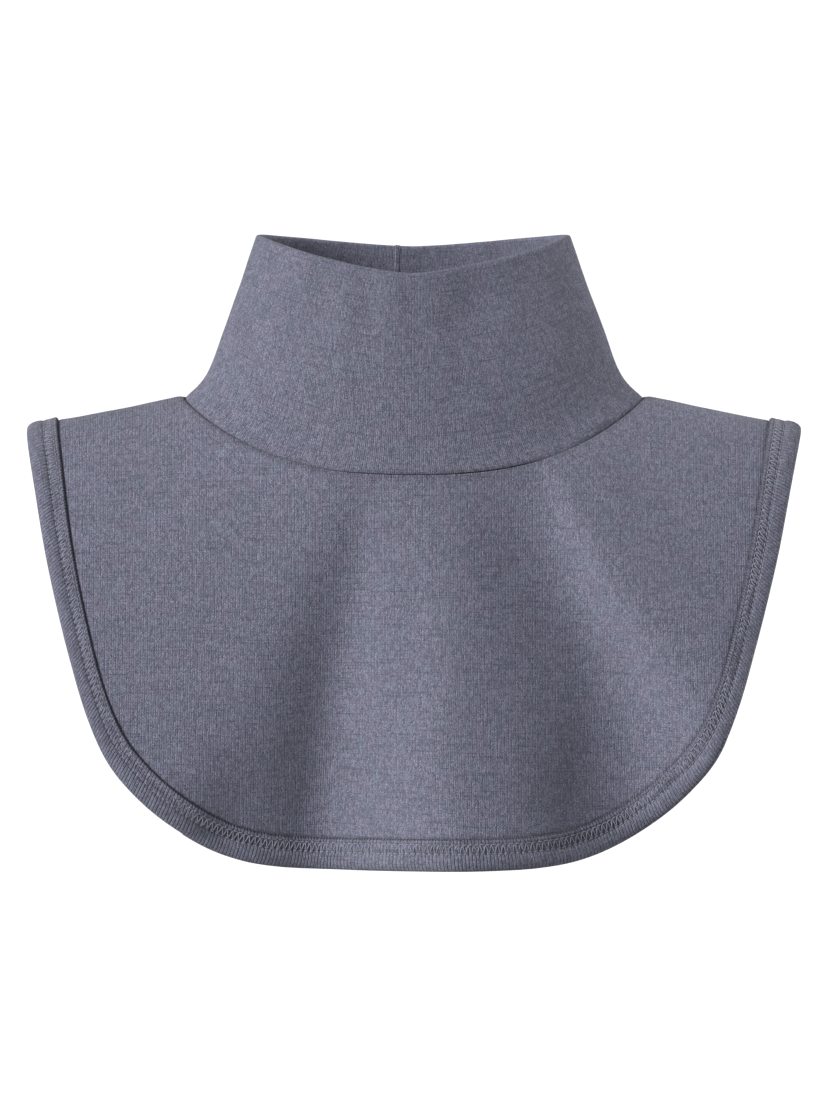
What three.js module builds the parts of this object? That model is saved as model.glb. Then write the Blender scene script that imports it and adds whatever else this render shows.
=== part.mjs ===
// Neck warmer of fine wool knit in a child's size, in its worn form.
// A stand-up collar is sewn to a one-piece yoke that lies over both shoulders and hangs in front and behind.
// A strip of the same knit, folded in two, binds the hem of the yoke.
// Millimetres, +Z up. The front faces -Y and right means +X. The origin lies midway between the two shoulder
// points of the neck seam.

import * as THREE from "three";

// Rim of the collar: a pointed oval that sags between its two side corners
const RIM = { halfWidth: 75.3, height: 77, centre: -0.3, pointing: 1.25, sagging: 1.5 };

// Neck seam, where the collar meets the yoke. bending shapes its fall from the shoulder points
const SEAM = { halfWidth: 109.5, bending: 2.7 };

// Side profile of the collar: a straight cone that flares out over the last stretch above the seam
const FLARE = { share: 0.21, length: 0.085, power: 1.3 };

// Hem: its shoulder ends lie at this height, and its middle leans a little to the left
const HEM = { height: -14.8, lean: -1.9 };

// Hem seen from the front, from the shoulder end down to the middle of the bib
const HEM_OUTLINE = [
  { drop: 0, half: 186 },
  { drop: 22.5, half: 181.3 },
  { drop: 61.5, half: 173.6 },
  { drop: 101, half: 163.8 },
  { drop: 134.5, half: 153.4 },
  { drop: 154.5, half: 144 },
  { drop: 168, half: 133.3 },
  { drop: 181.3, half: 118.5 },
  { drop: 194.6, half: 97.8 },
  { drop: 201.4, half: 80.5 },
  { drop: 204.6, half: 62 },
  { drop: 206, half: 34 },
  { drop: 206.2, half: 0 },
];

// Folds that run down from the neck seam. neck and hem are the places of the fold line across the panel and
// bow is its sideways bend between them. left and right are the flank widths at the hem, and narrow is the
// share of them that is left at the neck. depth is measured at the hem too, inward where negative, and
// growth is the power with which it grows on the way down.
const FRONT_FOLDS = [
  {
    name: "left valley", neck: -19.3, hem: -43, bow: -4.2,
    left: 28, right: 28.5, narrow: 0.39, depth: -17.4, growth: 0.83,
  },
  {
    name: "centre ridge", neck: 19.9, hem: 23.7, bow: -3,
    left: 33, right: 62.5, narrow: 0.36, depth: 15, growth: 1.13,
  },
  {
    name: "right valley", neck: 29.8, hem: 101, bow: 20.8,
    left: 40, right: 35, narrow: 0.6, depth: -18, growth: 0.66,
  },
  {
    name: "right ridge", neck: 69, hem: 185, bow: -14.8,
    left: 24.5, right: 54.5, narrow: 0.36, depth: 16, growth: 0.4,
  },
  {
    name: "low left hollow", neck: -40, hem: -85, bow: 6.6,
    left: 28, right: 60, narrow: 0.3, depth: -12.5, growth: 3.8,
  },
];
const BACK_FOLDS = [
  {
    name: "left back ripple", neck: -40, hem: -72, bow: 0,
    left: 34, right: 34, narrow: 0.35, depth: -7, growth: 0.85,
  },
  {
    name: "middle back ripple", neck: 0, hem: 4, bow: 0,
    left: 38, right: 38, narrow: 0.35, depth: 4.5, growth: 0.85,
  },
  {
    name: "right back ripple", neck: 38, hem: 76, bow: 0,
    left: 34, right: 34, narrow: 0.35, depth: -7, growth: 0.85,
  },
];

// Cloth pushed outward hangs a little higher, by this share of the push
const FOLD_LIFT = 0.09;

// Folds fade out where the sheet turns over the shoulders, given as shares of the panel's depth
const FOLD_FADE = { none: 0.3, full: 0.8 };

// Dents and swells on the front of the collar
const COLLAR_DENTS = [
  { name: "dent right of the middle", across: 30, up: 50, halfWidth: 12, halfHeight: 20, depth: -1.8 },
  { name: "swell left of the middle", across: -10, up: 46, halfWidth: 10, halfHeight: 24, depth: 1.1 },
  { name: "dent at the left side", across: -74, up: 30, halfWidth: 7, halfHeight: 15, depth: -1.4 },
  { name: "dent at the right side", across: 80, up: 26, halfWidth: 8, halfHeight: 18, depth: -1.2 },
];

// What differs between the two halves of the garment. sign points along -Y for the front.
// stations is the number of places round that half, and crowding draws them towards the shoulders.
const FRONT = {
  sign: 1, rimDepth: 44, rimSag: 16.1, seamDepth: 53.5, seamDrop: 32.5, hemDepth: 67.5, swell: 4.6,
  folds: FRONT_FOLDS, dents: COLLAR_DENTS, stations: 58, crowding: 0.35,
};
const BACK = {
  sign: -1, rimDepth: 38, rimSag: 7.9, seamDepth: 46, seamDrop: 11, hemDepth: 56, swell: 4,
  folds: BACK_FOLDS, dents: [], stations: 34, crowding: 0.55,
};

// Cloth thicknesses
const YOKE_THICKNESS = 1.6;
const COLLAR_THICKNESS = 3;
const BINDING_PLY = 1.2;

// Sewing sizes. The yoke's edge stands proud of the neck seam, and the binding curls the hem inward
const BINDING_WIDTH = 16;
const SEAM_ALLOWANCE = 7;
const SEAM_GROOVE = 1.15;
const SEAM_STEP = 0.8;
const HEM_CURL = 1.6;
const CLEARANCE = 0.35;

// Divisions of the faceted surfaces. Rows of the collar lie closer together towards the seam
const COLLAR_ROWS = 7;
const COLLAR_ROW_CROWDING = 1.25;
const PANEL_ROWS = 7;
const BINDING_ROWS = 2;
const NOSE_STEPS = 4;
const ARC_DIVISIONS = 800;

const WOOL = { roughness: 0.95, metalness: 0 };
const KNIT = new THREE.MeshStandardMaterial({ name: "knit", color: 0x75788a, ...WOOL });
const BINDING_KNIT = new THREE.MeshStandardMaterial({ name: "binding_knit", color: 0x6f7285, ...WOOL });

const mix = THREE.MathUtils.lerp;
const clamp = THREE.MathUtils.clamp;

function mixPoints(from, to, share) {
  return from.clone().lerp(to, share);
}

function shift(point, direction, distance) {
  return point.clone().addScaledVector(direction, distance);
}

// Half of a ring, from the right shoulder to the left, on the front or the back
class HalfRing extends THREE.Curve {
  constructor(pointAt, side) {
    super();
    this.pointAt = pointAt;
    this.side = side;
    this.arcLengthDivisions = ARC_DIVISIONS;
  }

  getPoint(t, target = new THREE.Vector3()) {
    return target.copy(this.pointAt(Math.PI * t, this.side));
  }
}

function rimPoint(angle, side) {
  const across = Math.cos(angle);
  const x = RIM.centre + RIM.halfWidth * across;
  const y = -side.sign * side.rimDepth * Math.max(Math.sin(angle), 0) ** RIM.pointing;
  const z = RIM.height - side.rimSag * (1 - Math.abs(across) ** RIM.sagging);
  return new THREE.Vector3(x, y, z);
}

function seamPoint(angle, side) {
  const across = Math.cos(angle);
  const y = -side.sign * side.seamDepth * Math.sin(angle);
  const z = -side.seamDrop * (1 - Math.abs(across) ** SEAM.bending);
  return new THREE.Vector3(SEAM.halfWidth * across, y, z);
}

const lowestDrop = HEM_OUTLINE[HEM_OUTLINE.length - 1].drop;
const rightOutline = HEM_OUTLINE.map((row) => new THREE.Vector3(row.half, 0, -row.drop));
const leftOutline = rightOutline.slice(0, -1).reverse().map(({ x, z }) => new THREE.Vector3(-x, 0, z));
const hemOutline = new THREE.CatmullRomCurve3([...rightOutline, ...leftOutline]);

// The outline of the hem, bent over the shoulders: seen from the side each half is a quarter of an ellipse
function hemPoint(angle, side) {
  const point = hemOutline.getPoint((1 - Math.cos(angle)) / 2);
  const fall = clamp(-point.z / lowestDrop, 0, 1);
  point.x += HEM.lean * Math.sqrt(fall);
  point.y = -side.sign * side.hemDepth * Math.sqrt(1 - (1 - fall) ** 2);
  point.z += HEM.height;
  return point;
}

// Places round one half as shares of its rings, closer together over the shoulders
function stationShares({ stations: count, crowding }) {
  return Array.from({ length: count }, (_, i) => {
    const share = i / count;
    return share - (crowding * Math.sin(2 * Math.PI * share)) / (2 * Math.PI);
  });
}

function halfStations(side, fromLeft) {
  const rim = new HalfRing(rimPoint, side);
  const seam = new HalfRing(seamPoint, side);
  const hem = new HalfRing(hemPoint, side);
  return stationShares(side).map((place) => {
    const share = fromLeft ? 1 - place : place;
    return { side, rim: rim.getPointAt(share), seam: seam.getPointAt(share), hem: hem.getPointAt(share) };
  });
}

const stations = [...halfStations(FRONT, false), ...halfStations(BACK, true)];

// How far the folds push a point of the panel outward. fall is its share of the way from neck seam to hem
function foldPush(side, x, fall) {
  return side.folds.reduce((sum, fold) => {
    const line = mix(fold.neck, fold.hem, fall) + fold.bow * Math.sin(Math.PI * fall);
    const offset = x - line;
    const width = (offset < 0 ? fold.left : fold.right) * mix(fold.narrow, 1, fall);
    return sum + fold.depth * fall ** fold.growth * Math.exp(-((offset / width) ** 2));
  }, 0);
}

function dentPush(side, x, z) {
  return side.dents.reduce((sum, dent) => {
    const across = (x - dent.across) / dent.halfWidth;
    const up = (z - dent.up) / dent.halfHeight;
    return sum + dent.depth * Math.exp(-(across ** 2) - up ** 2);
  }, 0);
}

// Outward normals of a grid that holds a column of points, from top to bottom, for each station
function gridNormals(grid) {
  return grid.map((column, i) => column.map((_, j) => {
    const next = grid[(i + 1) % grid.length][j];
    const last = grid[(i + grid.length - 1) % grid.length][j];
    const below = column[Math.min(j + 1, column.length - 1)];
    const above = column[Math.max(j - 1, 0)];
    return next.clone().sub(last).cross(below.clone().sub(above)).normalize();
  }));
}

// Distances down a spoke of the yoke: the seam allowance, the panel, and the stretch under the binding
function spokeDistances(length) {
  const end = length - YOKE_THICKNESS / 2 - CLEARANCE - BINDING_PLY;
  const bindingEdge = length - BINDING_WIDTH;
  const panelStart = SEAM_GROOVE + SEAM_ALLOWANCE;
  const panel = Array.from({ length: PANEL_ROWS }, (_, j) => mix(panelStart, bindingEdge, j / PANEL_ROWS));
  const bound = Array.from({ length: BINDING_ROWS + 1 }, (_, j) => mix(bindingEdge, end, j / BINDING_ROWS));
  return [SEAM_GROOVE, ...panel, ...bound];
}

// Outer skin of the yoke: straight spokes from neck seam to hem, swollen, folded and curled in at the hem
function yokeSkin() {
  const lifts = [];
  const grid = stations.map(({ side, seam, hem }) => {
    const length = seam.distanceTo(hem);
    const distances = spokeDistances(length);
    lifts.push(distances.map((distance) => {
      const curl = clamp((distance - length + BINDING_WIDTH) / BINDING_WIDTH, 0, 1);
      return SEAM_STEP - HEM_CURL * curl ** 2;
    }));
    return distances.map((distance) => {
      const point = mixPoints(seam, hem, distance / length);
      const openness = Math.abs(point.y) / side.hemDepth;
      const swell = side.swell * Math.sin((Math.PI * distance) / length) * openness;
      const fall = clamp((seam.z - point.z) / (lowestDrop - side.seamDrop), 0, 1);
      const fade = THREE.MathUtils.smoothstep(openness, FOLD_FADE.none, FOLD_FADE.full);
      const push = fade * foldPush(side, point.x, fall);
      point.y -= side.sign * (swell + push);
      point.z += FOLD_LIFT * push;
      return point;
    });
  });
  const normals = gridNormals(grid);
  return grid.map((column, i) => column.map((point, j) => shift(point, normals[i][j], lifts[i][j])));
}

// Outer skin of the collar from the rim down to the neck seam
function collarSkin() {
  return stations.map(({ side, rim, seam }) => Array.from({ length: COLLAR_ROWS + 1 }, (_, j) => {
    const up = (1 - j / COLLAR_ROWS) ** COLLAR_ROW_CROWDING;
    const flare = 1 - Math.exp(-((up / FLARE.length) ** FLARE.power));
    const point = mixPoints(seam, rim, (1 - FLARE.share) * up + FLARE.share * flare);
    point.z = mix(seam.z, rim.z, up);
    point.y -= side.sign * dentPush(side, point.x, point.z);
    return point;
  }));
}

const yoke = yokeSkin();
const yokeNormals = gridNormals(yoke);
const collar = collarSkin();
const collarNormals = gridNormals(collar);
const hemRow = yoke[0].length - 1;

// Direction in which a column of points leaves its first point, away from the sheet
function topDirection(column) {
  return column[0].clone().sub(column[1]).normalize();
}

function bottomDirection(column) {
  return column[column.length - 1].clone().sub(column[column.length - 2]).normalize();
}

// Points of one column of the yoke's outer skin, moved a depth inward
function yokeOffset(i, rows, depth) {
  return rows.map((j) => shift(yoke[i][j], yokeNormals[i][j], -depth));
}

function rowRange(first, last) {
  return Array.from({ length: last - first + 1 }, (_, k) => first + k);
}

// Points between the two ends of a half circle that starts along one direction and bulges along another
function halfCircle(centre, start, bulge, radius, steps) {
  return Array.from({ length: steps - 1 }, (_, k) => {
    const angle = (Math.PI * (k + 1)) / steps;
    return shift(shift(centre, start, radius * Math.cos(angle)), bulge, radius * Math.sin(angle));
  });
}

// Joins the closed sections, one for each station, into a ring-shaped solid
function ringSolid(sections) {
  const count = sections[0].length;
  const positions = sections.flatMap((section) => section.flatMap((point) => point.toArray()));
  const indices = sections.flatMap((section, i) => {
    const here = i * count;
    const next = ((i + 1) % sections.length) * count;
    return section.flatMap((_, k) => {
      const after = (k + 1) % count;
      return [here + k, next + k, next + after, here + k, next + after, here + after];
    });
  });
  const geometry = new THREE.BufferGeometry();
  geometry.setAttribute("position", new THREE.Float32BufferAttribute(positions, 3));
  geometry.setIndex(indices);
  geometry.computeVertexNormals();
  return geometry;
}

// A single sheet with rounded edges
function yokeSection(i) {
  const rows = rowRange(0, hemRow);
  const radius = YOKE_THICKNESS / 2;
  const [neckCentre] = yokeOffset(i, [0], radius);
  const [hemCentre] = yokeOffset(i, [hemRow], radius);
  const inward = yokeNormals[i][0].clone().negate();
  return [
    ...yokeOffset(i, rows, 0),
    ...halfCircle(hemCentre, yokeNormals[i][hemRow], bottomDirection(yoke[i]), radius, 2),
    ...yokeOffset(i, rows, YOKE_THICKNESS).reverse(),
    ...halfCircle(neckCentre, inward, topDirection(yoke[i]), radius, 2),
  ];
}

// Two plies folded at the rim. At the seam they step in under the yoke and run on as the seam allowance
function collarSection(i) {
  const outer = collar[i];
  const normals = collarNormals[i];
  const inner = outer.map((point, j) => shift(point, normals[j], -COLLAR_THICKNESS));
  const inward = normals[0].clone().negate();
  const rimCentre = shift(outer[0], inward, COLLAR_THICKNESS / 2);
  const under = YOKE_THICKNESS + CLEARANCE;
  const neckward = topDirection(yoke[i]);
  const step = shift(yokeOffset(i, [0], under)[0], neckward, SEAM_GROOVE);
  const [allowanceEnd] = yokeOffset(i, [1], under + COLLAR_THICKNESS / 2);
  return [
    ...outer,
    step,
    ...yokeOffset(i, [0, 1], under),
    shift(allowanceEnd, neckward, -COLLAR_THICKNESS / 2),
    ...yokeOffset(i, [1, 0], under + COLLAR_THICKNESS),
    ...inner.slice(0, -1).reverse(),
    ...halfCircle(rimCentre, inward, topDirection(outer), COLLAR_THICKNESS / 2, NOSE_STEPS),
  ];
}

// A strip folded round the edge of the yoke, one ply on each face
function bindingSection(i) {
  const rows = rowRange(hemRow - BINDING_ROWS, hemRow);
  const normal = yokeNormals[i][hemRow];
  const inward = normal.clone().negate();
  const outward = bottomDirection(yoke[i]);
  const [centre] = yokeOffset(i, [hemRow], YOKE_THICKNESS / 2);
  const innerRadius = YOKE_THICKNESS / 2 + CLEARANCE;
  return [
    ...yokeOffset(i, rows, -CLEARANCE - BINDING_PLY),
    ...halfCircle(centre, normal, outward, innerRadius + BINDING_PLY, NOSE_STEPS),
    ...yokeOffset(i, rows, YOKE_THICKNESS + CLEARANCE + BINDING_PLY).reverse(),
    ...yokeOffset(i, rows, YOKE_THICKNESS + CLEARANCE),
    ...halfCircle(centre, inward, outward, innerRadius, 2),
    ...yokeOffset(i, rows, -CLEARANCE).reverse(),
  ];
}

const PIECES = [
  { name: "collar", section: collarSection, material: KNIT },
  { name: "yoke", section: yokeSection, material: KNIT },
  { name: "edge_binding", section: bindingSection, material: BINDING_KNIT },
];

const neckWarmer = new THREE.Group();
for (const { name, section, material } of PIECES) {
  const mesh = new THREE.Mesh(ringSolid(stations.map((_, i) => section(i))), material);
  mesh.name = name;
  neckWarmer.add(mesh);
}

export default neckWarmer;
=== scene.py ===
"""Knitted neck warmer: a stand-up collar sewn to a yoke that lies over both shoulders, with a bound hem.

Shapes are worked out in millimetres and become metres when a mesh is made. The front faces -Y, right means
+X, and every ring runs from the right shoulder over the front to the left one, and back over the back.
"""
from math import cos, pi, radians, sin
from typing import NamedTuple

import bmesh
import bpy
import numpy as np
from bpy.props import FloatProperty, FloatVectorProperty, PointerProperty
from mathutils import Matrix, Vector, noise


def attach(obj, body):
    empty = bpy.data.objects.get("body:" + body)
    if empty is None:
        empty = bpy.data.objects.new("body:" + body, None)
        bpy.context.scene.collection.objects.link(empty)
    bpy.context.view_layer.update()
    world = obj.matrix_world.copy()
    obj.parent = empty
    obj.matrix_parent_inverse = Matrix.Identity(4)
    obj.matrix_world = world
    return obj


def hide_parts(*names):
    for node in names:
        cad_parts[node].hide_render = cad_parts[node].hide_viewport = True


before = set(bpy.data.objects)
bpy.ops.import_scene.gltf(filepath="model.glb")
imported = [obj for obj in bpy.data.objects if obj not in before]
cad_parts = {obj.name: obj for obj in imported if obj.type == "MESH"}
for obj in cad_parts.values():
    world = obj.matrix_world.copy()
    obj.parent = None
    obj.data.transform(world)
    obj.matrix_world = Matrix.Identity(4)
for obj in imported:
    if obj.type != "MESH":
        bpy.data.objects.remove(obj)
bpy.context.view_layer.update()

bl_info = {
    "name": "Knitted neck warmer",
    "version": (1, 0, 0),
    "blender": (4, 5, 0),
    "location": "3D View > Sidebar > Neck Warmer",
    "description": "Makes a knitted neck warmer with its seams and cover stitching",
    "category": "Add Mesh",
}

MM = 0.001


# Pattern of the garment


class Rim(NamedTuple):
    """The collar's rim: a pointed oval that sags between its two side corners."""

    half_width: float = 75.3
    height: float = 77
    centre: float = -0.3
    pointing: float = 1.25
    sagging: float = 1.5


class Seam(NamedTuple):
    """The neck seam. bending shapes its fall from the shoulder points."""

    half_width: float = 109.5
    bending: float = 2.7


class Flare(NamedTuple):
    """The collar's side profile: a cone that flares out over the last stretch above the seam."""

    share: float = 0.21
    length: float = 0.085
    power: float = 1.3


class Fold(NamedTuple):
    """A fold from the neck seam to the hem. Its line bows sideways; widths and depth are those at the hem.

    narrow is the share of the widths at the neck, and growth the power with which the depth grows.
    """

    neck: float
    hem: float
    bow: float
    left: float
    right: float
    narrow: float
    depth: float
    growth: float


class Dent(NamedTuple):
    """A dent, or a swell where its depth is positive, on the front of the collar."""

    across: float
    up: float
    half_width: float
    half_height: float
    depth: float


class Side(NamedTuple):
    """What differs between the front and the back. sign points along -Y for the front."""

    sign: int
    rim_depth: float
    rim_sag: float
    seam_depth: float
    seam_drop: float
    hem_depth: float
    swell: float
    folds: tuple
    dents: tuple


RIM = Rim()
SEAM = Seam()
FLARE = Flare()

# The hem seen from the front, in rows of (drop, half width) from the shoulder end to the middle of the bib
HEM_OUTLINE = (
    (0, 186), (22.5, 181.3), (61.5, 173.6), (101, 163.8), (134.5, 153.4), (154.5, 144), (168, 133.3),
    (181.3, 118.5), (194.6, 97.8), (201.4, 80.5), (204.6, 62), (206, 34), (206.2, 0),
)
HEM_HEIGHT = -14.8
HEM_LEAN = -1.9
LOWEST_DROP = HEM_OUTLINE[-1][0]

FRONT = Side(
    sign=1, rim_depth=44, rim_sag=16.1, seam_depth=53.5, seam_drop=32.5, hem_depth=67.5, swell=4.6,
    folds=(
        Fold(neck=-19.3, hem=-43, bow=-4.2, left=28, right=28.5, narrow=0.39, depth=-17.4, growth=0.83),
        Fold(neck=19.9, hem=23.7, bow=-3, left=33, right=62.5, narrow=0.36, depth=15, growth=1.13),
        Fold(neck=29.8, hem=101, bow=20.8, left=40, right=35, narrow=0.6, depth=-18, growth=0.66),
        Fold(neck=69, hem=185, bow=-14.8, left=24.5, right=54.5, narrow=0.36, depth=16, growth=0.4),
        Fold(neck=-40, hem=-85, bow=6.6, left=28, right=60, narrow=0.3, depth=-12.5, growth=3.8),
    ),
    dents=(
        Dent(across=28, up=49, half_width=11, half_height=17, depth=-3),
        Dent(across=44, up=46, half_width=22, half_height=30, depth=-1.6),
        Dent(across=76, up=44, half_width=20, half_height=34, depth=2),
        Dent(across=-10, up=46, half_width=10, half_height=24, depth=1.1),
        Dent(across=-23, up=46, half_width=5, half_height=13, depth=-0.9),
        Dent(across=-43, up=56, half_width=6, half_height=11, depth=-0.9),
        Dent(across=-58, up=34, half_width=26, half_height=42, depth=-3.4),
        Dent(across=-77, up=30, half_width=7, half_height=11, depth=-2.8),
        Dent(across=84, up=25, half_width=8, half_height=17, depth=-2),
    ),
)
BACK = Side(
    sign=-1, rim_depth=38, rim_sag=7.9, seam_depth=46, seam_drop=11, hem_depth=56, swell=4,
    folds=(
        Fold(neck=-40, hem=-72, bow=0, left=34, right=34, narrow=0.35, depth=-7, growth=0.85),
        Fold(neck=0, hem=4, bow=0, left=38, right=38, narrow=0.35, depth=4.5, growth=0.85),
        Fold(neck=38, hem=76, bow=0, left=34, right=34, narrow=0.35, depth=-7, growth=0.85),
    ),
    dents=(),
)

# The folds also lift the cloth, by this share of their push. They fade in between these shares of the way
# from the shoulder's top to the hem's full depth
FOLD_LIFT = 0.09
FOLD_FADE = (0.3, 0.8)

# Cloth and sewing sizes
YOKE_THICKNESS = 1.6
COLLAR_PLY = 1.4
COLLAR_SLIT = 0.2
COLLAR_THICKNESS = 2 * COLLAR_PLY + COLLAR_SLIT
SEAM_ALLOWANCE = 7
CLEARANCE = 0.35

# The yoke's cloth starts a groove away from the neck seam, lies a step higher than the seam, and rolls down
# into it by a width and a depth. At the hem it curls in, and ends inside the fold of the binding
SEAM_GROOVE = 1.15
SEAM_STEP = 0.8
SEAM_ROLL = (3.2, 0.7)
HEM_CURL = 1.6
BINDING_WIDTH = 16
BINDING_PLY = 1.2
YOKE_END = YOKE_THICKNESS / 2 + CLEARANCE + BINDING_PLY

# The cloth of the yoke dips in front of the binding: how deep, how wide, and how far before its folded edge
EDGE_DIP = (0.3, 0.6, 0.1)

# The binding's face in rows of (run, rise): from its folded edge to the hem, above the middle of the yoke's
# cloth. It rises to a lip, is held down between the two needle rows and ends in a plain padded band
BINDING_FACE = (
    (0, 0.9), (0.2, 1.4), (0.7, 1.95), (1.4, 2.2), (2.5, 2), (3.8, 2.05), (5.9, 2.05), (7, 1.85),
    (7.6, 2.15), (8.8, 2.6), (11, 2.8), (12.6, 2.7), (14.2, 2.2), (15.3, 1.4), (16, 0),
)
NEEDLE_ROWS = (2.5, 7)

# The threads sink into the cloth, and the way up the lip takes about this much of the binding's cloth
THREAD_LIFT = -0.08
LIP_CLOTH = 0.9

# Swells of the cloth, in rows of (reach across, reach up, height)
YOKE_RIPPLES = ((34, 62, 0.8), (13, 22, 0.22))
COLLAR_RIPPLES = ((17, 40, 0.5), (8, 15, 0.15))
BINDING_RIPPLES = ((19, 19, 0.5),)

# The collar's front and back are fuller beside their middles, by a quarter of this at most
COLLAR_FLATNESS = 12

# The collar looks a little darker than the yoke and the binding lighter, and the binding has more painted
# shade between its columns of stitches
COLLAR_TONE = 0.93
BINDING_TONE = 1.05
BINDING_RIB_SHADE = 0.32

# The collar's back seam runs over the rim here, as a welt of this section in rows of (across, out). Each side
# of the section takes a strip of knit this wide
BACK_SEAM_PLACE = -7.7
WELT_STRIP = 0.45
WELT_SECTION = (
    (-1.3, -0.3), (-1.2, 0.1), (-0.7, 0.42), (-0.15, 0.25), (0.15, 0.25), (0.7, 0.42), (1.2, 0.1),
    (1.3, -0.3),
)

ARC_DIVISIONS = 800
SOLVER_STEPS = 500
KNIT_MAP = "knit"
# Point attribute that carries the painted shade in the creases beside the binding's folded edge and at the
# neck seam
PAINTED_SHADE_MAP = "painted_crease_shade"


def smoothstep(value, low, high):
    """The share of the way from low to high, eased at both ends."""
    share = np.clip((value - low) / (high - low), 0, 1)
    return share * share * (3 - 2 * share)


def unit(vectors):
    """The directions of the vectors."""
    return vectors / np.linalg.norm(vectors, axis=-1, keepdims=True)


def catmull_rom(points, where):
    """Points of the centripetal Catmull-Rom curve through the given ones, at parameters from 0 to 1."""
    points = np.asarray(points, float)
    padded = np.vstack([2 * points[0] - points[1], points, 2 * points[-1] - points[-2]])
    place = np.clip(where, 0, 1) * (len(points) - 1)
    first = np.minimum(place.astype(int), len(points) - 2)
    t = (place - first)[:, None]
    p0, p1, p2, p3 = (padded[first + k] for k in range(4))
    d0, d1, d2 = (np.linalg.norm(b - a, axis=1)[:, None] ** 0.5 for a, b in ((p0, p1), (p1, p2), (p2, p3)))
    start = ((p1 - p0) / d0 - (p2 - p0) / (d0 + d1)) * d1 + p2 - p1
    end = ((p3 - p2) / d2 - (p3 - p1) / (d1 + d2)) * d1 + p2 - p1
    return p1 + t * (start + t * (3 * (p2 - p1) - 2 * start - end + t * (start + end - 2 * (p2 - p1))))


def rim_ring(angle, side):
    """Points of the collar's rim, at angles from its right corner to its left one."""
    across = np.cos(angle)
    y = -side.sign * side.rim_depth * np.maximum(np.sin(angle), 0) ** RIM.pointing
    z = RIM.height - side.rim_sag * (1 - np.abs(across) ** RIM.sagging)
    return np.stack([RIM.centre + RIM.half_width * across, y, z], axis=-1)


def seam_ring(angle, side):
    """Points of the neck seam, which falls from the shoulders to the front and the back."""
    across = np.cos(angle)
    y = -side.sign * side.seam_depth * np.sin(angle)
    z = -side.seam_drop * (1 - np.abs(across) ** SEAM.bending)
    return np.stack([SEAM.half_width * across, y, z], axis=-1)


def hem_ring(angle, side):
    """The hem's outline, bent over the shoulders: from the side each half is a quarter of an ellipse."""
    right = [(half, 0, -drop) for drop, half in HEM_OUTLINE]
    left = [(-x, y, z) for x, y, z in reversed(right[:-1])]
    point = catmull_rom(right + left, (1 - np.cos(angle)) / 2)
    fall = np.clip(-point[:, 2] / LOWEST_DROP, 0, 1)
    point[:, 0] += HEM_LEAN * np.sqrt(fall)
    point[:, 1] = -side.sign * side.hem_depth * np.sqrt(1 - (1 - fall) ** 2)
    point[:, 2] += HEM_HEIGHT
    return point


def ring_lengths(ring, side):
    """Places round half a ring, as shares of its turn, and the length of the ring up to each."""
    turn = np.linspace(0, 1, ARC_DIVISIONS + 1)
    chords = np.linalg.norm(np.diff(ring(pi * turn, side), axis=0), axis=1)
    return turn, np.concatenate([[0], np.cumsum(chords)])


def along_ring(ring, side, shares):
    """Points at shares of the length of half a ring."""
    turn, lengths = ring_lengths(ring, side)
    return ring(pi * np.interp(shares * lengths[-1], lengths, turn), side)


class Half(NamedTuple):
    """Stations round one half of the garment: a point of each ring, and the spoke from seam to hem."""

    side: Side
    rim: np.ndarray
    seam: np.ndarray
    hem: np.ndarray
    spoke: np.ndarray


def halves(front_count, back_count):
    """The front's stations from right to left and the back's from left to right."""
    made = []
    for side, shares in (
        (FRONT, np.arange(front_count) / front_count),
        (BACK, 1 - np.arange(back_count) / back_count),
    ):
        rim, seam, hem = (along_ring(ring, side, shares) for ring in (rim_ring, seam_ring, hem_ring))
        made.append(Half(side, rim, seam, hem, np.linalg.norm(hem - seam, axis=1)))
    return made


def fold_push(side, x, fall):
    """How far the folds push points outward. fall is their share of the way from neck seam to hem."""
    push = np.zeros_like(x)
    for fold in side.folds:
        line = fold.neck + (fold.hem - fold.neck) * fall + fold.bow * np.sin(pi * fall)
        offset = x - line
        width = np.where(offset < 0, fold.left, fold.right) * (fold.narrow + (1 - fold.narrow) * fall)
        push += fold.depth * fall**fold.growth * np.exp(-((offset / width) ** 2))
    return push


def dent_push(side, x, z):
    """How far the dents and swells of the collar push points outward."""
    push = np.zeros_like(x)
    for dent in side.dents:
        across = (x - dent.across) / dent.half_width
        up = (z - dent.up) / dent.half_height
        push += dent.depth * np.exp(-(across**2) - up**2)
    return push


def ripples(points, rows):
    """Small uneven swells of the cloth at each point."""
    total = np.zeros(points.shape[:-1])
    for across, up, height in rows:
        places = (points / (across, across, up)).reshape(-1, 3).tolist()
        total += height * np.array([noise.noise(place) for place in places]).reshape(total.shape)
    return total


def grid_normals(grid):
    """Outward normals of a grid of rings, with a column of points for each station."""
    around = np.roll(grid, -1, axis=0) - np.roll(grid, 1, axis=0)
    return unit(np.cross(around, np.gradient(grid, axis=1)))


def yoke_half(half, distances):
    """Straight spokes from the neck seam to the hem, swollen and folded, at distances from the seam."""
    side = half.side
    share = distances / half.spoke[:, None]
    points = half.seam[:, None] + (half.hem - half.seam)[:, None] * share[..., None]
    openness = np.abs(points[..., 1]) / side.hem_depth
    swell = side.swell * np.sin(pi * share) * openness
    drop = half.seam[:, None, 2] - points[..., 2]
    fall = np.clip(drop / (LOWEST_DROP - side.seam_drop), 0, 1)
    push = smoothstep(openness, *FOLD_FADE) * fold_push(side, points[..., 0], fall)
    points[..., 1] -= side.sign * (swell + push)
    points[..., 2] += FOLD_LIFT * push
    return points


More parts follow.
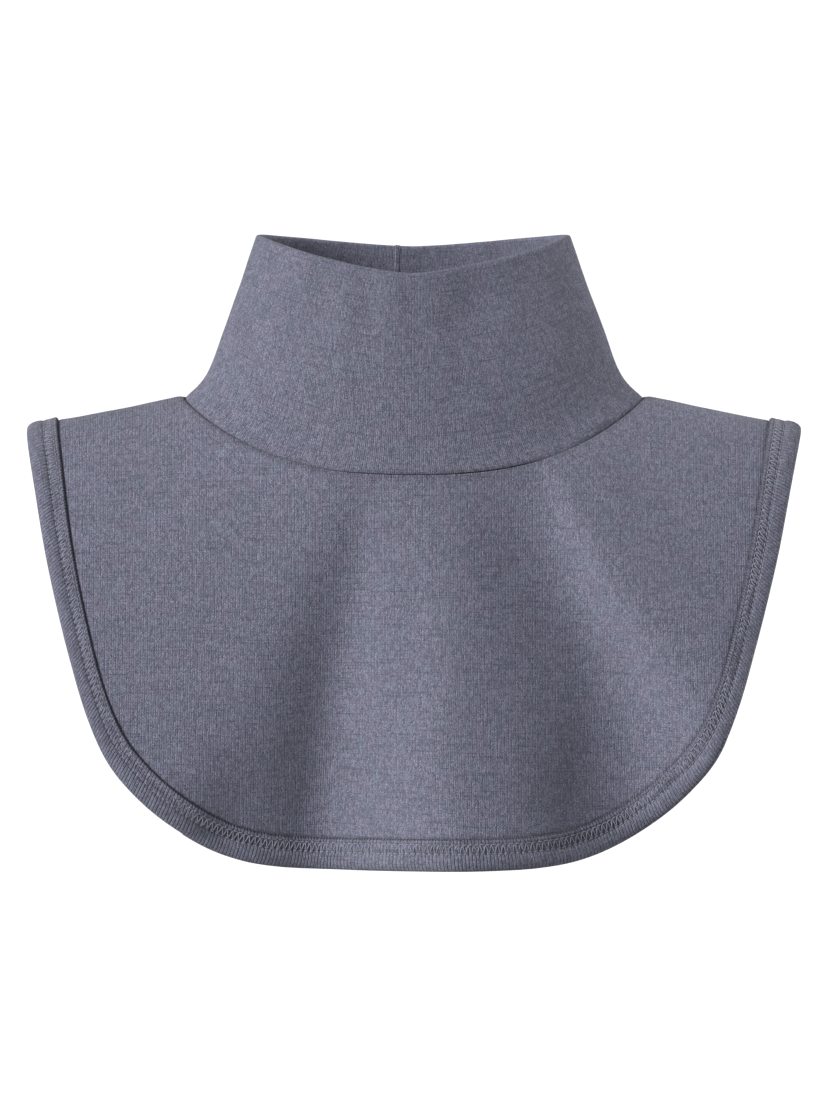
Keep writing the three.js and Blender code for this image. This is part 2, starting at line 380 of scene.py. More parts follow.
def yoke_skin(both, spoke_distances):
    """The yoke's outer skin and its normals. spoke_distances gives places on spokes of given lengths."""
    distances = [spoke_distances(half.spoke[:, None]) for half in both]
    points = np.concatenate([yoke_half(half, places) for half, places in zip(both, distances)])
    spoke = np.concatenate([half.spoke for half in both])[:, None]
    place = np.concatenate(distances)
    curl = np.clip((place - spoke + BINDING_WIDTH) / BINDING_WIDTH, 0, 1)
    roll_width, roll_depth = SEAM_ROLL
    roll = np.clip(1 - (place - SEAM_GROOVE) / roll_width, 0, 1)
    lift = SEAM_STEP - HEM_CURL * curl**2 - roll_depth * roll**2 + ripples(points, YOKE_RIPPLES)
    skin = points + grid_normals(points) * lift[..., None]
    return skin, grid_normals(skin)


def collar_skin(both, rows):
    """The collar's outer skin from the rim down to the neck seam, and its normals."""
    up = 1 - np.linspace(0, 1, rows)
    flare = 1 - np.exp(-((up / FLARE.length) ** FLARE.power))
    narrowing = ((1 - FLARE.share) * up + FLARE.share * flare)[:, None]
    half_width = SEAM.half_width + (RIM.half_width - SEAM.half_width) * narrowing[:, 0]
    grids = []
    for half in both:
        points = half.seam[:, None] + (half.rim - half.seam)[:, None] * narrowing
        points[..., 2] = half.seam[:, None, 2] + (half.rim - half.seam)[:, None, 2] * up
        share = points[..., 0] / half_width
        flatness = COLLAR_FLATNESS * smoothstep(up, 0, 0.45) * share**2 * np.clip(1 - share**2, 0, 1)
        openness = np.abs(points[..., 1]) / half.side.rim_depth
        dents = smoothstep(openness, 0, 0.35) * dent_push(half.side, points[..., 0], points[..., 2])
        points[..., 1] -= half.side.sign * (flatness + dents)
        grids.append(points)
    skin = np.concatenate(grids)
    held = np.sin(pi * np.clip(up, 0, 0.5))
    skin += grid_normals(skin) * (ripples(skin, COLLAR_RIPPLES) * held)[..., None]
    return skin, grid_normals(skin)


def half_circle(centre, start, bulge, radius, steps):
    """Points between the ends of a half circle that starts along one direction and bulges along another."""
    angles = [pi * (k + 1) / steps for k in range(steps - 1)]
    return [centre + radius * (cos(angle) * start + sin(angle) * bulge) for angle in angles]


def wale_places(skin, normals):
    """Where each point of the yoke lies in the knit, in millimetres across and along its wales.

    Neighbours should lie as far apart in the knit as they do in space, with the wales upright on the front
    and back. Conjugate gradients find the places that come nearest to that.
    """
    across = unit(np.array([1.0, 0, 0]) - normals * normals[..., :1])
    steps_around = np.roll(skin, -1, axis=0) - skin
    steps_down = np.diff(skin, axis=1)
    spread_around = np.linalg.norm(steps_around, axis=-1)
    spread_down = np.linalg.norm(steps_down, axis=-1)
    weight_around = spread_down.mean(axis=1, keepdims=True) / spread_around
    weight_down = spread_around.mean(axis=1, keepdims=True) / spread_down

    def outflow(around, down):
        total = np.roll(around, 1, axis=0) - around
        total[:, :-1] -= down
        total[:, 1:] += down
        return total

    def spread(values):
        around = weight_around * (np.roll(values, -1, axis=0) - values)
        return outflow(around, weight_down * np.diff(values, axis=1))

    places = []
    for direction, guess in ((across, skin[..., 0]), (np.cross(normals, across), skin[..., 2])):
        here_around = (direction + np.roll(direction, -1, axis=0)) / 2
        here_down = (direction[:, :-1] + direction[:, 1:]) / 2
        wanted = outflow(
            weight_around * (steps_around * here_around).sum(axis=-1),
            weight_down * (steps_down * here_down).sum(axis=-1),
        )
        values = guess.copy()
        rest = wanted - spread(values)
        search = rest.copy()
        size = (rest * rest).sum()
        for _ in range(SOLVER_STEPS):
            change = spread(search)
            pace = size / (search * change).sum()
            values += pace * search
            rest -= pace * change
            last, size = size, (rest * rest).sum()
            search = rest + size / last * search
        places.append(values)
    return np.stack(places, axis=-1)


# Meshes


def ring_mesh(name, sections, places, material):
    """A closed ring through the closed sections, with a map of places in the knit, in millimetres.

    sections has one section for each station. places has one station and one point more, where it closes.
    """
    stations, count = sections.shape[:2]
    here = np.arange(stations * count).reshape(stations, count)
    ahead = np.roll(here, -1, axis=0)
    faces = np.stack([here, ahead, np.roll(ahead, -1, axis=1), np.roll(here, -1, axis=1)], axis=-1)
    corners = np.stack([places[:-1, :-1], places[1:, :-1], places[1:, 1:], places[:-1, 1:]], axis=2)
    return piece_from(name, sections.reshape(-1, 3), faces.reshape(-1, 4), material, corners)


def piece_from(name, points, faces, material, corners, ends=()):
    """A smooth mesh piece, with its points given in millimetres, that rides on the garment's one body.

    corners are the places in the knit of each face's corners. ends are faces that close an open strip.
    """
    mesh = bpy.data.meshes.new(name)
    mesh.from_pydata((points * MM).tolist(), [], faces.tolist() + list(ends))
    layer = mesh.uv_layers.new(name=KNIT_MAP)
    places = corners.reshape(-1, 2)
    spare = np.zeros((len(mesh.loops) - len(places), 2))
    layer.uv.foreach_set("vector", np.concatenate([places, spare]).astype(np.float32).ravel())
    mesh.shade_smooth()
    mesh.materials.append(material)
    piece = bpy.data.objects.new(name, mesh)
    bpy.context.scene.collection.objects.link(piece)
    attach(piece, "root")
    return piece


def closed(grid):
    """The grid with its first station and first point repeated at the end."""
    grid = np.concatenate([grid, grid[:1]])
    return np.concatenate([grid, grid[:, :1]], axis=1)


def share_map(around, along):
    """Knit places of a ring from its stations' places around it and its section's places along the wales."""
    return np.stack(np.broadcast_arrays(around[:, None], along[None]), axis=-1)


def section_run(sections):
    """Mean distance of each point of the sections from the first one, along the section, and all round."""
    steps = np.linalg.norm(np.roll(sections, -1, axis=1) - sections, axis=-1).mean(axis=0)
    return np.concatenate([[0], np.cumsum(steps)])


# Materials


class Shader:
    """A new material whose nodes are added one by one."""

    def __init__(self, name):
        self.material = bpy.data.materials.new(name)
        self.material.use_nodes = True
        self.tree = self.material.node_tree
        self.surface = self.tree.nodes["Principled BSDF"]

    def node(self, kind, inputs=None, **settings):
        made = self.tree.nodes.new(kind)
        for setting, value in settings.items():
            setattr(made, setting, value)
        for socket, value in (inputs or {}).items():
            self.feed(made.inputs[socket], value)
        return made

    def feed(self, socket, value):
        if isinstance(value, bpy.types.NodeSocket):
            self.tree.links.new(value, socket)
        else:
            socket.default_value = value

    def math(self, operation, *values):
        return self.node("ShaderNodeMath", dict(enumerate(values)), operation=operation).outputs[0]

    def sum_of(self, *weighted, base=0.0):
        """Adds sockets, each times its weight, to a base value."""
        total = base
        for socket, weight in weighted:
            total = self.math("MULTIPLY_ADD", socket, weight, total)
        return total

    def blend(self, share, low, high, blend_type="MIX"):
        """Mixes two colours."""
        inputs = {"Factor": share, "A": low, "B": high}
        made = self.node("ShaderNodeMix", data_type="RGBA", blend_type=blend_type)
        for socket in made.inputs:
            if socket.name in inputs and socket.type in ("VALUE" if socket.name == "Factor" else "RGBA"):
                self.feed(socket, inputs[socket.name])
        return next(out for out in made.outputs if out.type == "RGBA")

    def scaled(self, colour, share):
        """A colour times a value."""
        inputs = {0: colour, "Scale": share}
        return self.node("ShaderNodeVectorMath", inputs, operation="SCALE").outputs["Vector"]

    def paint_shade(self, shade):
        """Paints shade: takes a share away from the surface's colour."""
        socket = self.surface.inputs["Base Color"]
        self.feed(socket, self.scaled(socket.links[0].from_socket, self.math("SUBTRACT", 1, shade)))

    def shape(self, value, low, high):
        """The share of the way of a value between two limits."""
        inputs = {"Value": value, "From Min": low, "From Max": high}
        return self.node("ShaderNodeMapRange", inputs, interpolation_type="SMOOTHSTEP").outputs["Result"]


class Knit(NamedTuple):
    """Sockets of a knit's pattern: the relief of its yarn, a random value for each stitch, and the place."""

    relief: bpy.types.NodeSocket
    chance: bpy.types.NodeSocket
    across: bpy.types.NodeSocket
    along: bpy.types.NodeSocket


def knit_pattern(shader, wale, course):
    """Columns of V-shaped stitches. Each V has two slanting legs of yarn, round in section."""
    place = shader.node("ShaderNodeUVMap", uv_map=KNIT_MAP).outputs["UV"]
    split = shader.node("ShaderNodeSeparateXYZ", {0: place})
    across, along = split.outputs["X"], split.outputs["Y"]
    column = shader.math("DIVIDE", across, wale)
    middle = shader.math("ABSOLUTE", shader.math("SUBTRACT", shader.math("FRACT", column), 0.5))
    row = shader.math("ADD", shader.math("DIVIDE", along, course), shader.math("MULTIPLY", middle, 1.5))
    leg_offset = shader.math("MULTIPLY", shader.math("SUBTRACT", middle, 0.24), 4)
    leg = shader.math("SUBTRACT", 1, shader.math("MULTIPLY", leg_offset, leg_offset))
    round_leg = shader.math("POWER", shader.math("MAXIMUM", leg, 0), 0.5)
    phase = shader.math("FRACT", row)
    arch = shader.math("SINE", shader.math("MULTIPLY", phase, pi))
    relief = shader.math("MULTIPLY", round_leg, shader.math("MULTIPLY_ADD", arch, 0.45, 0.55))
    cell = shader.node(
        "ShaderNodeCombineXYZ",
        {
            "X": shader.math("FLOOR", shader.math("MULTIPLY", column, 2)),
            "Y": shader.math("FLOOR", row),
        },
    ).outputs[0]
    chance = shader.node("ShaderNodeTexWhiteNoise", {"Vector": cell}, noise_dimensions="2D").outputs["Value"]
    return Knit(relief, chance, across, along)


def cloudiness(shader, reach_across, reach_along, detail=2.0):
    """Soft noise in the knit's own plane."""
    place = shader.node("ShaderNodeUVMap", uv_map=KNIT_MAP).outputs["UV"]
    scaled = shader.node(
        "ShaderNodeMapping", {"Vector": place, "Scale": (1 / reach_across, 1 / reach_along, 1)}
    ).outputs[0]
    return shader.node(
        "ShaderNodeTexNoise", {"Vector": scaled, "Scale": 1.0, "Detail": detail}, noise_dimensions="2D"
    ).outputs["Fac"]


def knit_material(name, look, sizes, tone=1.0, rib_shade=0.035):
    """Melange wool: stitches of lighter and darker yarn, uneven courses, tinted patches and a short fuzz.

    tone scales the brightness of the wool, and rib_shade is how much painted shade darkens it between two
    columns of stitches.
    """
    shader = Shader(name)
    knit = knit_pattern(shader, sizes.wale / MM, sizes.course / MM)
    specks = cloudiness(shader, 0.5, 0.65, detail=1.0)
    fuzz = cloudiness(shader, 0.2, 0.28, detail=1.0)
    streaks = cloudiness(shader, 1.2, 5)
    courses = cloudiness(shader, 22, 0.8, detail=1.0)
    patches = cloudiness(shader, 9, 12)

    # Each value lies about 0.5, and the base brings their sum back to that
    yarn = shader.sum_of((knit.chance, 0.35), (specks, 1.3), (fuzz, 1.2), (streaks, 0.3), base=-1.075)
    dark, wool, light = (
        tuple(tone * channel for channel in colour) + (1.0,)
        for colour in (look.wool_dark, look.wool, look.wool_light)
    )
    heather = shader.blend(shader.shape(yarn, 0.0, 0.5), dark, wool)
    heather = shader.blend(shader.shape(yarn, 0.5, 1.0), heather, light)
    warm, cool = (tuple(colour) + (1.0,) for colour in (look.warm_tint, look.cool_tint))
    tint = shader.blend(shader.shape(patches, 0.35, 0.65), warm, cool)
    heather = shader.blend(1.0, heather, tint, blend_type="MULTIPLY")
    dark_courses = shader.math("MULTIPLY", shader.shape(courses, 0.58, 0.75), 0.4)
    heather = shader.blend(dark_courses, heather, dark)
    # Painted shade: the wool is darkened in the grooves between columns of stitches and beside the yarn's
    # legs
    column = shader.math("COSINE", shader.math("MULTIPLY", knit.across, 2 * pi * MM / sizes.wale))
    groove = shader.math("MULTIPLY", shader.shape(column, -0.6, 1.0), rib_shade)
    beside_yarn = shader.math("SUBTRACT", 1, shader.shape(knit.relief, 0.0, 0.75))
    shade = shader.math("MAXIMUM", groove, shader.math("MULTIPLY", beside_yarn, 0.28))
    light_kept = shader.math("SUBTRACT", 1, shade)
    shader.feed(shader.surface.inputs["Base Color"], shader.scaled(heather, light_kept))
    height = shader.sum_of((knit.relief, 1.0), (fuzz, 0.5), (specks, 0.9), (groove, -2.5))
    bump = shader.node(
        "ShaderNodeBump", {"Height": height, "Strength": 0.8, "Distance": sizes.yarn_relief}
    )
    shader.feed(shader.surface.inputs["Normal"], bump.outputs["Normal"])
    wool_finish(shader.surface, look)
    return shader, knit


def paint_stitched_band_shade(shader, knit, stitch):
    """Paint shade into the binding's colour: beside its folded edge, in the needle holes and in the slots
    between the stitches.
    """
    inner_row, outer_row = (row + LIP_CLOTH for row in NEEDLE_ROWS)
    turn = shader.math("MULTIPLY", knit.across, 4 * pi / stitch)
    wave = shader.math("COSINE", turn)
    # Painted shade: a dotted dark line beside the folded edge, dark slots between the stitches and dark
    # needle holes
    painted_crease_shade = shader.math("SUBTRACT", 1, shader.shape(knit.along, 0.7, 1.8))
    dotted = shader.math("MULTIPLY_ADD", shader.shape(wave, -0.6, 0.6), 0.5, 0.3)
    shade = shader.math("MULTIPLY", painted_crease_shade, dotted)
    start = shader.shape(knit.along, inner_row, inner_row + 1)
    end = shader.math("SUBTRACT", 1, shader.shape(knit.along, outer_row - 1, outer_row))
    slots = shader.math("MULTIPLY", shader.shape(wave, 0.0, 1.0), shader.math("MULTIPLY", start, end))
    shade = shader.math("MAXIMUM", shade, shader.math("MULTIPLY", slots, 0.3))
    for row, offset in ((inner_row, 0), ((inner_row + outer_row) / 2, pi), (outer_row, 0)):
        away = shader.math("ABSOLUTE", shader.math("SUBTRACT", knit.along, row))
        near = shader.math("SUBTRACT", 1, shader.shape(away, 0.2, 0.85))
        beside = shader.shape(shader.math("COSINE", shader.math("ADD", turn, offset)), 0.1, 0.9)
        hole = shader.math("MULTIPLY", near, beside)
        shade = shader.math("MAXIMUM", shade, shader.math("MULTIPLY", hole, 0.6))
    shader.paint_shade(shade)


def thread_material(name, look):
    """Sewing thread: two plies twisted together, a little smoother than the wool."""
    shader = Shader(name)
    place = shader.node("ShaderNodeTexCoord").outputs["Object"]
    grain = shader.node("ShaderNodeTexNoise", {"Vector": place, "Scale": 900.0, "Detail": 3.0}).outputs["Fac"]
    light = tuple(look.thread) + (1.0,)
    dark = tuple(0.6 * channel for channel in look.thread) + (1.0,)
    twisted = shader.blend(shader.shape(grain, 0.3, 0.65), dark, light)
    shader.feed(shader.surface.inputs["Base Color"], twisted)
    bump = shader.node("ShaderNodeBump", {"Height": grain, "Strength": 0.5, "Distance": 0.0002})
    shader.feed(shader.surface.inputs["Normal"], bump.outputs["Normal"])
    wool_finish(shader.surface, look)
    shader.surface.inputs["Roughness"].default_value = 0.6
    return shader.material


def wool_finish(surface, look):
    """Matt, with a faint sheen from the fuzz."""
    surface.inputs["Roughness"].default_value = 0.92
    surface.inputs["Specular IOR Level"].default_value = 0.25
    surface.inputs["Sheen Weight"].default_value = look.sheen
    surface.inputs["Sheen Roughness"].default_value = 0.45


# Settings


class NeckWarmerSizes(bpy.types.PropertyGroup):
    """Gauge of the knit and sizes of the sewing."""

    wale: FloatProperty(
        name="Wale", description="Distance between two columns of stitches", default=0.0017,
        unit="LENGTH", subtype="DISTANCE", precision=5)
    course: FloatProperty(
        name="Course", description="Distance between two rows of stitches", default=0.0013,
        unit="LENGTH", subtype="DISTANCE", precision=5)
    yarn_relief: FloatProperty(
        name="Yarn relief", description="How far the yarn stands out of the cloth", default=0.0004,
        unit="LENGTH", subtype="DISTANCE", precision=5)
    stitch: FloatProperty(
        name="Stitch length", description="Length of a cover stitch on the binding", default=0.0028,
        unit="LENGTH", subtype="DISTANCE", precision=5)
    thread: FloatProperty(
        name="Thread width", description="Width of the sewing thread", default=0.0004,
        unit="LENGTH", subtype="DISTANCE", precision=5)


class NeckWarmerLook(bpy.types.PropertyGroup):
    """Colours of the wool, the thread and the floor."""

    wool: FloatVectorProperty(
        name="Wool", description="Main colour of the melange yarn", default=(0.13, 0.133, 0.1815),
        subtype="COLOR", min=0, max=1)
    wool_dark: FloatVectorProperty(
        name="Dark wool", description="Dark fibres of the yarn", default=(0.052, 0.054, 0.075),
        subtype="COLOR", min=0, max=1)
    wool_light: FloatVectorProperty(
        name="Light wool", description="Light fibres of the yarn", default=(0.265, 0.272, 0.352),
        subtype="COLOR", min=0, max=1)
    warm_tint: FloatVectorProperty(
        name="Warm tint", description="Tint of the redder patches", default=(1.02, 0.985, 1.01),
        subtype="COLOR", min=0, max=2)
    cool_tint: FloatVectorProperty(
        name="Cool tint", description="Tint of the bluer patches", default=(0.965, 0.995, 0.995),
        subtype="COLOR", min=0, max=2)
    thread: FloatVectorProperty(
        name="Thread", description="Sewing thread", default=(0.25, 0.258, 0.325), subtype="COLOR",
        min=0, max=1)
    sheen: FloatProperty(
        name="Sheen", description="Light caught by the fuzz", default=0.1, min=0, max=1, subtype="FACTOR")
    floor: FloatVectorProperty(
        name="Floor", description="Pale studio floor", default=(0.95, 0.95, 0.95), subtype="COLOR",
        min=0, max=1)


class NeckWarmerSettings(bpy.types.PropertyGroup):
    """All settings of the neck warmer."""

    sizes: PointerProperty(type=NeckWarmerSizes)
    look: PointerProperty(type=NeckWarmerLook)


# Pieces


class NECK_WARMER_OT_yoke(bpy.types.Operator):
    """Lay the knitted yoke over both shoulders"""

    bl_idname = "neck_warmer.yoke"
    bl_label = "Yoke"

    front_stations = 300
    back_stations = 250
    edge_steps = 4
    # Width and strength of the painted shade in the creases beside the binding's folded edge
    painted_shade_width = 0.65
    painted_shade_strength = 0.25

    # The open cloth's rows end before the binding's folded edge, and the bound cloth's start after it
    open_rows = 54
    open_end = 3.4
    bound_rows = 5
    bound_start = 3

    # Rows between them, as distances from the folded edge
    edge_rows = np.array([-2.4, -1.7, -1.1, -0.6, -0.1, 0.5, 1.4])

    def distances(self, spoke):
        """Rows of the cloth, closer together where it dips in front of the binding."""
        edge = spoke - BINDING_WIDTH
        open_width = edge - self.open_end - SEAM_GROOVE
        bound_width = BINDING_WIDTH - self.bound_start - YOKE_END
        open_cloth = SEAM_GROOVE + open_width * np.linspace(0, 1, self.open_rows)
        bound_cloth = edge + self.bound_start + bound_width * np.linspace(0, 1, self.bound_rows)
        return np.concatenate([open_cloth, edge + self.edge_rows, bound_cloth], axis=1)

    def execute(self, context):
        settings = context.scene.neck_warmer
        both = halves(self.front_stations, self.back_stations)
        skin, normals = yoke_skin(both, self.distances)
        places = wale_places(skin, normals)
        spoke = np.concatenate([half.spoke for half in both])[:, None]
        inner = (skin - YOKE_THICKNESS * normals)[:, ::-1]
        depth, width, before = EDGE_DIP
        from_edge = self.distances(spoke) - spoke + BINDING_WIDTH + before
        skin = skin - (depth * np.exp(-((from_edge / width) ** 2)))[..., None] * normals
        radius = YOKE_THICKNESS / 2
        hem_bulge = unit(skin[:, -1] - skin[:, -2])
        neck_bulge = unit(skin[:, 0] - skin[:, 1])
        hem_arc = half_circle(
            skin[:, -1] - radius * normals[:, -1], normals[:, -1], hem_bulge, radius, self.edge_steps)
        neck_arc = half_circle(
            skin[:, 0] - radius * normals[:, 0], -normals[:, 0], neck_bulge, radius, self.edge_steps)
        hem_arc, neck_arc = np.stack(hem_arc, axis=1), np.stack(neck_arc, axis=1)
        sections = np.concatenate([skin, hem_arc, inner, neck_arc], axis=1)
        hem_places, neck_places = (
            np.repeat(places[:, [row]], self.edge_steps - 1, axis=1) for row in (-1, 0))
        section_places = np.concatenate([places, hem_places, places[:, ::-1], neck_places], axis=1)
        shader, _ = knit_material("yoke_knit", settings.look, settings.sizes)
        # Painted shade: the wool is darkened in the creases beside the binding's folded edge and along the
        # neck seam
        painted_crease_shade = shader.node("ShaderNodeAttribute", attribute_name=PAINTED_SHADE_MAP).outputs["Fac"]
        shader.paint_shade(shader.math("MULTIPLY", painted_crease_shade, self.painted_shade_strength))
        piece = ring_mesh("yoke_cloth", sections, closed(section_places), shader.material)
        self.paint_crease_shade(piece, sections, from_edge, before)
        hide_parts("yoke")
        return {"FINISHED"}

    def paint_crease_shade(self, piece, sections, from_edge, before):
        """Mark the outer skin's points in the creases beside the binding's folded edge and the neck seam, for
        the painted shade there.
        """
        painted_shade_values = np.zeros(sections.shape[:2])
        painted_shade_values[:, :from_edge.shape[1]] = np.exp(-(((from_edge - before) / self.painted_shade_width) ** 2))
        painted_shade_values[:, 0] = 1
        layer = piece.data.attributes.new(PAINTED_SHADE_MAP, "FLOAT", "POINT")
        layer.data.foreach_set("value", painted_shade_values.astype(np.float32).ravel())


class NECK_WARMER_OT_collar(bpy.types.Operator):
    """Stand the collar up: two plies folded at the rim, with their allowance turned down inside the yoke"""

    bl_idname = "neck_warmer.collar"
    bl_label = "Collar"

    front_stations = 230
    back_stations = 210
    rows = 46
    rim_steps = 10

    # Only the outer face of the wall reaches down to the seam
    skipped_rows = 2

    def sections(self, both):
        """The collar's closed section at each station."""
        skin, normals = collar_skin(both, self.rows)
        allowance = SEAM_GROOVE + np.array([0, 0.5, 1]) * SEAM_ALLOWANCE
        tab, tab_normals = yoke_skin(both, lambda spoke: allowance + 0 * spoke)

        def tab_rows(depth):
            return tab - (YOKE_THICKNESS + CLEARANCE + depth) * tab_normals

        def ply(depth):
            """Points of a face of the cloth from the rim down to the end of the seam allowance."""
            wall = skin - depth * normals
            if depth:
                wall = wall[:, :-self.skipped_rows]
            else:
                neckward = unit(tab[:, :1] - tab[:, 1:2])
                wall = np.concatenate([wall, tab_rows(0)[:, :1] + SEAM_GROOVE * neckward], axis=1)
            return np.concatenate([wall, tab_rows(depth)], axis=1)

        outer, outer_slit = ply(0), ply(COLLAR_PLY)
        inner_slit, inner = ply(COLLAR_PLY + COLLAR_SLIT), ply(COLLAR_THICKNESS)
        rise = unit(skin[:, 0] - skin[:, 1])
        rim_arc = half_circle(
            skin[:, 0] - COLLAR_THICKNESS / 2 * normals[:, 0], -normals[:, 0], rise,
            COLLAR_THICKNESS / 2, self.rim_steps)
        return np.concatenate(
            [outer, outer_slit[:, ::-1], inner_slit, inner[:, ::-1], np.stack(rim_arc, axis=1)], axis=1)

    def execute(self, context):
        settings = context.scene.neck_warmer
        both = halves(self.front_stations, self.back_stations)
        sections = self.sections(both)
        counts = (self.front_stations, self.back_stations)
        wale = settings.sizes.wale / MM
        lengths = (
            sum(ring_lengths(ring, half.side)[1][-1] for ring in (seam_ring, rim_ring)) / 2 for half in both)
        widths = [wale * round(length / wale) for length in lengths]
        turns = [0, counts[0], sum(counts)]
        around = np.interp(np.arange(sum(counts) + 1), turns, [0, widths[0], sum(widths)])
        shader, _ = knit_material("collar_knit", settings.look, settings.sizes, tone=COLLAR_TONE)
        material = shader.material
        piece = ring_mesh("collar_cloth", sections, share_map(around, section_run(sections)), material)
        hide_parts("collar")
        self.back_seam(sections, material)
        return {"FINISHED"}

    def back_seam(self, sections, material):
        """The raised welt of the seam that closes the collar at the back, round its rim on both faces."""
        back = sections[self.front_stations:]
        station = self.front_stations + int(np.argmin(np.abs(back[:, 0, 0] - BACK_SEAM_PLACE)))
        inner_rows = self.rows - self.skipped_rows
        inner_start = sections.shape[1] - (self.rim_steps - 1) - inner_rows
        rows = np.r_[inner_start:sections.shape[1], 0:self.rows]
        path = sections[station, rows]
        around = unit(sections[station + 1, rows] - sections[station - 1, rows])
        along = unit(np.gradient(path, axis=0))
        outward = unit(np.cross(around, along))
        points = np.stack([path + x * around + rise * outward for x, rise in WELT_SECTION], axis=1)
        count = len(WELT_SECTION)
        here = np.arange(points.shape[0] * count).reshape(-1, count)
        faces = np.stack(
            [here[:-1], here[1:], np.roll(here[1:], -1, axis=1), np.roll(here[:-1], -1, axis=1)], axis=-1)
        run = np.concatenate([[0], np.cumsum(np.linalg.norm(np.diff(path, axis=0), axis=1))])
        across = WELT_STRIP * np.arange(count + 1)
        places = np.stack(np.broadcast_arrays(across[None], run[:, None]), axis=-1)
        corners = np.stack([places[:-1, :-1], places[1:, :-1], places[1:, 1:], places[:-1, 1:]], axis=2)
        ends = [here[0].tolist(), here[-1, ::-1].tolist()]
        points, faces = points.reshape(-1, 3), faces.reshape(-1, 4)
        seam = piece_from("collar_back_seam", points, faces, material, corners, ends)


def binding_places(both, runs):
    """The middle of the yoke's cloth and its normals under the binding, at runs from its folded edge."""
    skin, normals = yoke_skin(both, lambda spoke: spoke - BINDING_WIDTH + runs)
    return skin - YOKE_THICKNESS / 2 * normals, normals


def stitch_counts(sizes, ring):
    """Whole stitches along the front and the back of a ring."""
    return tuple(round(ring_lengths(ring, side)[1][-1] * MM / sizes.stitch) for side in (FRONT, BACK))


class NECK_WARMER_OT_binding(bpy.types.Operator):
    """Fold the binding round the hem of the yoke"""

    bl_idname = "neck_warmer.binding"
    bl_label = "Binding"

    stations_per_stitch = 4
    face_points = 27

    # The needles draw the cloth in at their rows and between them: how deep and how far to each side
    pucker = (0.4, 0.6)
    slot = (0.12, 1.7)

    # The lining side's turned-in ply, in rows from the folded edge, lies this far off the yoke
    lining_rows = (0.6, 5, 10, BINDING_WIDTH - YOKE_END)
    lining_gap = 0.15
    nose_steps = 4

    def face_rise(self, runs, rises, stations):
        """How high the binding's face lies at each station, drawn in where the needles pass."""
        needle = (1 + np.cos(2 * pi * np.arange(stations) / self.stations_per_stitch)) / 2
        depth, reach = self.pucker
        drawn = depth * sum(np.exp(-(((runs - row) / reach) ** 2)) for row in NEEDLE_ROWS)
        depth, reach = self.slot
        drawn += depth * np.exp(-(((runs - sum(NEEDLE_ROWS) / 2) / reach) ** 2))
        return rises - needle[:, None] * drawn

    def execute(self, context):
        settings = context.scene.neck_warmer
        counts = [count * self.stations_per_stitch for count in stitch_counts(settings.sizes, hem_ring)]
        both = halves(*counts)
        face = catmull_rom(BINDING_FACE, np.linspace(0, 1, self.face_points))
        runs, rises = face[:, 0], face[:, 1]
        runs[-1] = BINDING_WIDTH
        middle, normals = binding_places(both, runs)
        rise = self.face_rise(runs, rises, sum(counts))
        rise = rise + ripples(middle, BINDING_RIPPLES) * smoothstep(rises, rises[0], 2)
        lining, lining_normals = binding_places(both, np.array(self.lining_rows))

        # The inner side has every point near the hem and every third one beyond
        last = self.face_points - 2
        inner_rows = np.r_[last:last - 6:-1, last - 7:0:-3, 0]
        gap = YOKE_THICKNESS / 2 + self.lining_gap
        hem_bulge = unit(lining[:, -1] - lining[:, -2])
        nose = half_circle(lining[:, -1], -lining_normals[:, -1], hem_bulge, gap, self.nose_steps)
        sections = np.concatenate(
            [
                middle + rise[..., None] * normals,
                (middle - rise[..., None] * normals)[:, inner_rows],
                lining - gap * lining_normals,
                np.stack(nose, axis=1),
                (lining + gap * lining_normals)[:, ::-1],
            ],
            axis=1)
        around = np.arange(sum(counts) + 1) * settings.sizes.stitch / MM / self.stations_per_stitch
        shader, knit = knit_material(
            "binding_knit", settings.look, settings.sizes, tone=BINDING_TONE, rib_shade=BINDING_RIB_SHADE)
        paint_stitched_band_shade(shader, knit, settings.sizes.stitch / MM)
        places = share_map(around, section_run(sections))
        piece = ring_mesh("binding_strip", sections, places, shader.material)
        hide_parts("edge_binding")
        return {"FINISHED"}


def model_stitch(length, width, arch):
    """One stitch of thread along X: a rod that rises in an arch and thins towards its two ends."""
    bpy.ops.object.select_all(action="DESELECT")
    bpy.ops.mesh.primitive_cylinder_add(vertices=6, radius=width / 2, depth=length, rotation=(0, pi / 2, 0))
    stitch = bpy.context.object
    bpy.ops.object.transform_apply(rotation=True)
    bpy.ops.object.mode_set(mode="EDIT")
    bpy.ops.mesh.select_mode(type="EDGE")
    bpy.ops.mesh.select_all(action="DESELECT")
    shape = bmesh.from_edit_mesh(stitch.data)
    for edge in shape.edges:
        edge.select_set(abs(edge.verts[0].co.x - edge.verts[1].co.x) > length / 2)
    bpy.ops.mesh.subdivide(number_cuts=3)
    bpy.ops.mesh.select_mode(type="VERT")
    for place in (-0.5, -0.25, 0, 0.25, 0.5):
        bpy.ops.mesh.select_all(action="DESELECT")
        shape = bmesh.from_edit_mesh(stitch.data)
        for vertex in shape.verts:
            vertex.select_set(abs(vertex.co.x - place * length) < length / 16)
        shape.select_flush(True)
        bpy.ops.transform.translate(value=(0, 0, arch * (1 - 4 * place**2)))
        if abs(place) == 0.5:
            bpy.ops.transform.resize(value=(1, 0.45, 0.45))
    bpy.ops.object.mode_set(mode="OBJECT")
    bpy.ops.object.shade_smooth()
    return stitch


